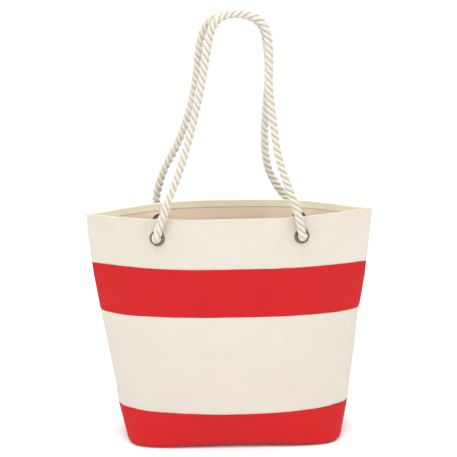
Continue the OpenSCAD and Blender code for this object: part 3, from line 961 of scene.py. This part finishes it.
def base_piece():
    shares = panel_shares(170)
    points, faces, uvs, sides, first = [], [], [], [], 0
    rims = {}
    for side in (FRONT, BACK):
        for off, inner in ((CANVAS_T, 0), (0.0, 1)):
            grid, uv = base_half(off, side, shares)
            made = grid_faces(*grid.shape[:2], first, flip=(side == FRONT) != bool(inner))
            rims[side, inner] = first + np.arange(len(shares))
            points.append(grid.reshape(-1, 3))
            uvs.append(uv.reshape(-1, 2))
            faces.append(made)
            sides.append(np.full(len(made), inner))
            first += grid.shape[0] * grid.shape[1]
        a, b = rims[side, 0], rims[side, 1]
        lip = np.stack([a[:-1], a[1:], b[1:], b[:-1]], axis=1)
        faces.append(lip if side == FRONT else lip[:, ::-1])
        sides.append(np.zeros(len(lip)))
    piece = make_piece(
        "base_wrap_canvas",
        np.concatenate(points),
        np.concatenate(faces),
        [RED, RED],
        uv=np.concatenate(uvs),
        finish_of=np.concatenate(sides),
    )
    weld(piece, 2e-5)
    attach(piece, "bag")
    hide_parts("base_wrap")
    return piece


canvas_base = base_piece()

# ---------------------------------------------------------------- tapes


def strip_piece(name, node, side_grids, uv, flip=False):
    """A tape between an outer and an inner grid of points."""
    outer, inner = side_grids
    points, faces, _ = two_faced(outer, inner)
    faces = faces[:, ::-1] if flip else faces
    uv = uv.reshape(-1, 2)
    piece = make_piece(name, points, faces, [TAPE], uv=np.concatenate([uv, uv]))
    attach(piece, "bag")
    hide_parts(node)


def rim_tape(side_name, side):
    """Tape along the inside of the rim, thinner at both of its long edges."""
    ends = 0.90
    shares = np.linspace(-ends, ends, 180)
    middle = np.linspace(0.0015, 0.0115, 6)
    z = np.concatenate([[0, 0.0003, 0.0007], middle, [0.0123, 0.0127, 0.013]])
    z = BODY_H - RIM_TAPE_W + z
    edge = np.minimum(z - z[0], z[-1] - z)
    thick = TAPE_T * np.sqrt(np.clip(edge / 0.0007, 0.04, 1))
    outer, s = cloth(shares, z, np.full((len(z), 1), -0.0001), side)
    inner, _ = cloth(shares, z, -(0.0001 + thick)[:, None], side)
    uv = np.stack([s, np.broadcast_to(z[:, None], s.shape)], axis=-1)
    strip_piece(
        side_name + "_rim_tape_cotton", side_name + "_rim_tape", (outer, inner), uv, side == BACK
    )


for side_name, side in (("front", FRONT), ("back", BACK)):
    rim_tape(side_name, side)


def seam_tape(side_name, turn):
    """Tape folded along the inside of a side seam: its columns run from the front panel round
    the seam's corner to the back one, and it stops at the rim tape and at the base edge."""
    z = np.linspace(BASE_EDGE_R + 0.0004, BODY_H - RIM_TAPE_W - TAPE_GAP, 120)
    _, y, along, _, _ = half_section(z)
    width = 0.0105
    reach = np.linspace(0, width, 8)
    grids = []
    for off in (-TAPE_GAP, -TAPE_GAP - TAPE_T):
        halves = []
        for side in (FRONT, BACK):
            need = np.interp(z, [0, BODY_H], [0.0007, 0.0012]) - off
            from_seam = along[:, -1:] - along
            start = [np.interp(n, y[i][::-1], from_seam[i][::-1]) for i, n in enumerate(need)]
            start = np.array(start)[:, None] * ease((z / BODY_H - 0.45) / 0.2)[:, None]
            share = turn * (1 - (start + reach[None]) / along[:, -1:])
            halves.append(cloth(share, z, off, side)[0])
        grids.append(np.concatenate([halves[0][:, ::-1], halves[1][:, 1:]], axis=1))
    across = np.concatenate([-reach[::-1], reach[1:]])
    uv = np.stack(np.broadcast_arrays(across[None], z[:, None]), axis=-1)
    strip_piece(
        side_name + "_seam_tape_cotton", side_name + "_seam_tape", grids, uv, turn == -1
    )


for side_name, turn in (("left", -1), ("right", 1)):
    seam_tape(side_name, turn)


def corner_tape(side_name, turn):
    """Tape over the seam that boxes one end of the base, inside, round the base edge."""
    shares = 1 - np.linspace(0, 0.27, 60)
    r = BASE_EDGE_R - CANVAS_T
    bend = np.radians(np.linspace(18, 74, 12))
    grids = []
    for off in (TAPE_GAP, TAPE_GAP + TAPE_T):
        z = BASE_EDGE_R - (r - off) * np.sin(bend)
        offs = -r + (r - off) * np.cos(bend)
        halves = [cloth(turn * shares, z, offs[:, None], side)[0] for side in (FRONT, BACK)]
        grids.append(np.concatenate([halves[0][:, ::-1], halves[1][:, 1:]], axis=1))
    reach = np.linspace(0, 0.064, 60)
    across = np.concatenate([-reach[::-1], reach[1:]])
    uv = np.stack(np.broadcast_arrays(across[None], (bend * r)[:, None]), axis=-1)
    strip_piece(
        side_name + "_corner_tape_cotton", side_name + "_corner_tape", grids, uv, turn == 1
    )


for side_name, turn in (("left", -1), ("right", 1)):
    corner_tape(side_name, turn)

# ---------------------------------------------------------------- grommets and washers


def turned(name, node, profile, groove, flip):
    """A ring turned from its profile: pairs of radius and height along the grommet's axis."""
    profile = np.array(profile)
    angle = np.arange(METAL_SIDES) * 2 * np.pi / METAL_SIDES
    centre, out = GROMMET_P * flip, GROMMET_N * flip
    side = unit(np.cross(out, [0, 0, 1]))
    up = np.cross(side, out)
    ring = np.cos(angle)[:, None] * side + np.sin(angle)[:, None] * up
    points = centre + profile[:, None, :1] * ring[None] + profile[:, None, 1:] * out
    rows = len(profile)
    points = points.reshape(-1, 3)
    faces = grid_faces(rows + 1, METAL_SIDES, wrap=True) % (rows * METAL_SIDES)
    piece = make_piece(name, points, faces, [METAL], groove=np.repeat(groove, METAL_SIDES))
    work = bmesh.new()
    work.from_mesh(piece.data)
    bmesh.ops.recalc_face_normals(work, faces=work.faces)
    work.to_mesh(piece.data)
    work.free()
    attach(piece, "bag")
    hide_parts(node)


def eyelet_profile():
    """Round-backed flange, a rounded run into the barrel, and the lip rolled over the washer."""
    dome = FLANGE_T / 2
    half = LIP_W / 2
    middle = CANVAS_T + dome

    def arc(first, last, steps):
        return [(math.cos(a), math.sin(a)) for a in np.radians(np.linspace(first, last, steps))]

    flange = [[FLANGE_R - dome + dome * c, middle + dome * s] for c, s in arc(-60, 90, 9)]
    flange += [[(FLANGE_R + BORE_R) / 2, CANVAS_T + FLANGE_T - 0.00015]]
    mouth = [[BORE_R + dome + dome * c, middle + dome * s] for c, s in arc(90, 180, 8)]
    low = -WASHER_T - LIP_T * 0.3
    lip = [[BORE_R + half + half * c, low + 0.7 * LIP_T * s] for c, s in arc(180, 360, 9)]
    barrel_r = BORE_R + BARREL_WALL
    barrel = [[BORE_R + LIP_W, -WASHER_T], [barrel_r, -WASHER_T], [barrel_r, CANVAS_T]]
    profile = flange + mouth + lip + barrel + [[FLANGE_R - dome, CANVAS_T]]
    groove = [0.5] * 2 + [0.1] * 7 + [0.0] + [0.1] * 3 + [0.8] * 5 + [0.3] * 9 + [0.8] * 4
    return profile, groove


eyelet, eyelet_groove = eyelet_profile()
washer = [
    [HOLE_R, -0.00002],
    [WASHER_R - 0.0003, -0.00002],
    [WASHER_R, -0.0003],
    [WASHER_R, -WASHER_T + 0.0003],
    [WASHER_R - 0.0003, -WASHER_T],
    [HOLE_R, -WASHER_T],
]
for corner, flip in CORNERS.items():
    turned(corner + "_eyelet", corner + "_grommet", eyelet, eyelet_groove, flip)
    turned(corner + "_back_washer", corner + "_washer", washer, [0.4] * 6, flip)

# ---------------------------------------------------------------- stitching


def stitches(name, rows_of, finish, length=0.0027, thread=0.00055):
    """Rows of stitches. Each is a short rounded thread that rises a little off the cloth in its
    middle and dips into it at both ends."""
    centre, along, out = (np.concatenate(part) for part in zip(*rows_of))
    out = unit(out - along * (out * along).sum(1, keepdims=True))
    across = np.cross(along, out)
    t = np.array([-1, -0.82, -0.4, 0.4, 0.82, 1])
    r = thread / 2 * np.array([0.35, 0.85, 1, 1, 0.85, 0.35])
    lift = np.array([-0.00030, -0.00004, 0.00018, 0.00018, -0.00004, -0.00030])
    a = np.arange(6) * np.pi / 3
    local = np.stack(
        [
            np.broadcast_to((t * length / 2)[:, None], (6, 6)),
            lift[:, None] + r[:, None] * np.sin(a),
            r[:, None] * np.cos(a),
        ],
        axis=-1,
    ).reshape(-1, 3)
    basis = np.stack([along, out, across], axis=1)
    points = centre[:, None] + np.einsum("pk,nkd->npd", local, basis)
    body = grid_faces(6, 6, wrap=True, flip=True)
    caps = np.array([[0, 1, 2, 3], [0, 3, 4, 5], [30, 33, 32, 31], [30, 35, 34, 33]])
    one = np.concatenate([body, caps])
    faces = (one[None] + 36 * np.arange(len(centre))[:, None, None]).reshape(-1, 4)
    piece = make_piece(name, points.reshape(-1, 3), faces, [finish])
    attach(piece, "bag")


def sewn_row(z, side, off, out_sign=1, ends=0.006):
    """Places, directions and ways out for a level row of stitches across a panel."""
    fine, s = cloth(np.linspace(-1, 1, 1500), [z], off, side)
    fine, s = fine[0], s[0]
    want = np.arange(s[0] + ends, s[-1] - ends, STITCH_PITCH)
    place = np.stack([np.interp(want, s, fine[:, i]) for i in range(3)], axis=1)
    ahead = np.stack([np.interp(want + 0.0008, s, fine[:, i]) for i in range(3)], axis=1)
    along = unit(ahead - place)
    out = np.cross(along, [0, 0, 1.0])
    out = unit(out) * out_sign * (1 if side == FRONT else -1)
    return place, along, out


sewn_heights = (TOP_Z0 - STITCH_INSET, STRIPE_Z0 + STITCH_INSET, BASE_BAND_H - STITCH_INSET)
for side_name, side in (("front", FRONT), ("back", BACK)):
    stitches(
        side_name + "_rim_stitches",
        [sewn_row(BODY_H - d, side, CANVAS_T) for d in (0.0022, 0.0112)]
        + [sewn_row(BODY_H - d, side, -TAPE_T - 0.0001, -1, ends=0.030) for d in (0.0022, 0.0112)],
        NATURAL_THREAD,
    )
    stitches(
        side_name + "_stripe_stitches",
        [sewn_row(z, side, CANVAS_T) for z in sewn_heights],
        RED_THREAD,
    )

# ---------------------------------------------------------------- each canvas sheet's node name, split into side and part

for node, (piece, width, height) in canvas.items():
    side_name, part = node.split("_", 1)

# ---------------------------------------------------------------- floor and light

floor_mesh = bpy.data.meshes.new("floor")
floor_mesh.from_pydata([(-9, -9, 0), (9, -9, 0), (9, 9, 0), (-9, 9, 0)], [], [(0, 1, 2, 3)])
floor = bpy.data.objects.new("floor", floor_mesh)
floor.location.z = -0.0005
paper = Finish("pale_floor", 0.9)
paper.shader.inputs["Base Color"].default_value = (0.90, 0.90, 0.90, 1)
floor_mesh.materials.append(paper.material)
bpy.context.scene.collection.objects.link(floor)


def soft_light(name, place, aim, size, power, color=(1, 1, 1)):
    data = bpy.data.lights.new(name, "AREA")
    data.shape = "DISK"
    data.size = size
    data.energy = power
    data.color = color
    light = bpy.data.objects.new(name, data)
    light.location = place
    light.rotation_euler = (Vector(aim) - Vector(place)).to_track_quat("-Z", "Y").to_euler()
    bpy.context.scene.collection.objects.link(light)


soft_light("key", (-1.3, -2.2, 2.3), (0, 0, 0.25), 1.6, 11)
soft_light("fill", (1.9, -1.9, 1.2), (0, 0, 0.3), 1.8, 6)
soft_light("top", (0, -0.9, 2.7), (0, 0.05, 0.3), 1.8, 22)

world = bpy.data.worlds.new("studio")
world.use_nodes = True
world.node_tree.nodes["Background"].inputs[0].default_value = (1, 1, 1, 1)
world.node_tree.nodes["Background"].inputs[1].default_value = 1.25
bpy.context.scene.world = world
bpy.context.scene.view_settings.view_transform = "Standard"
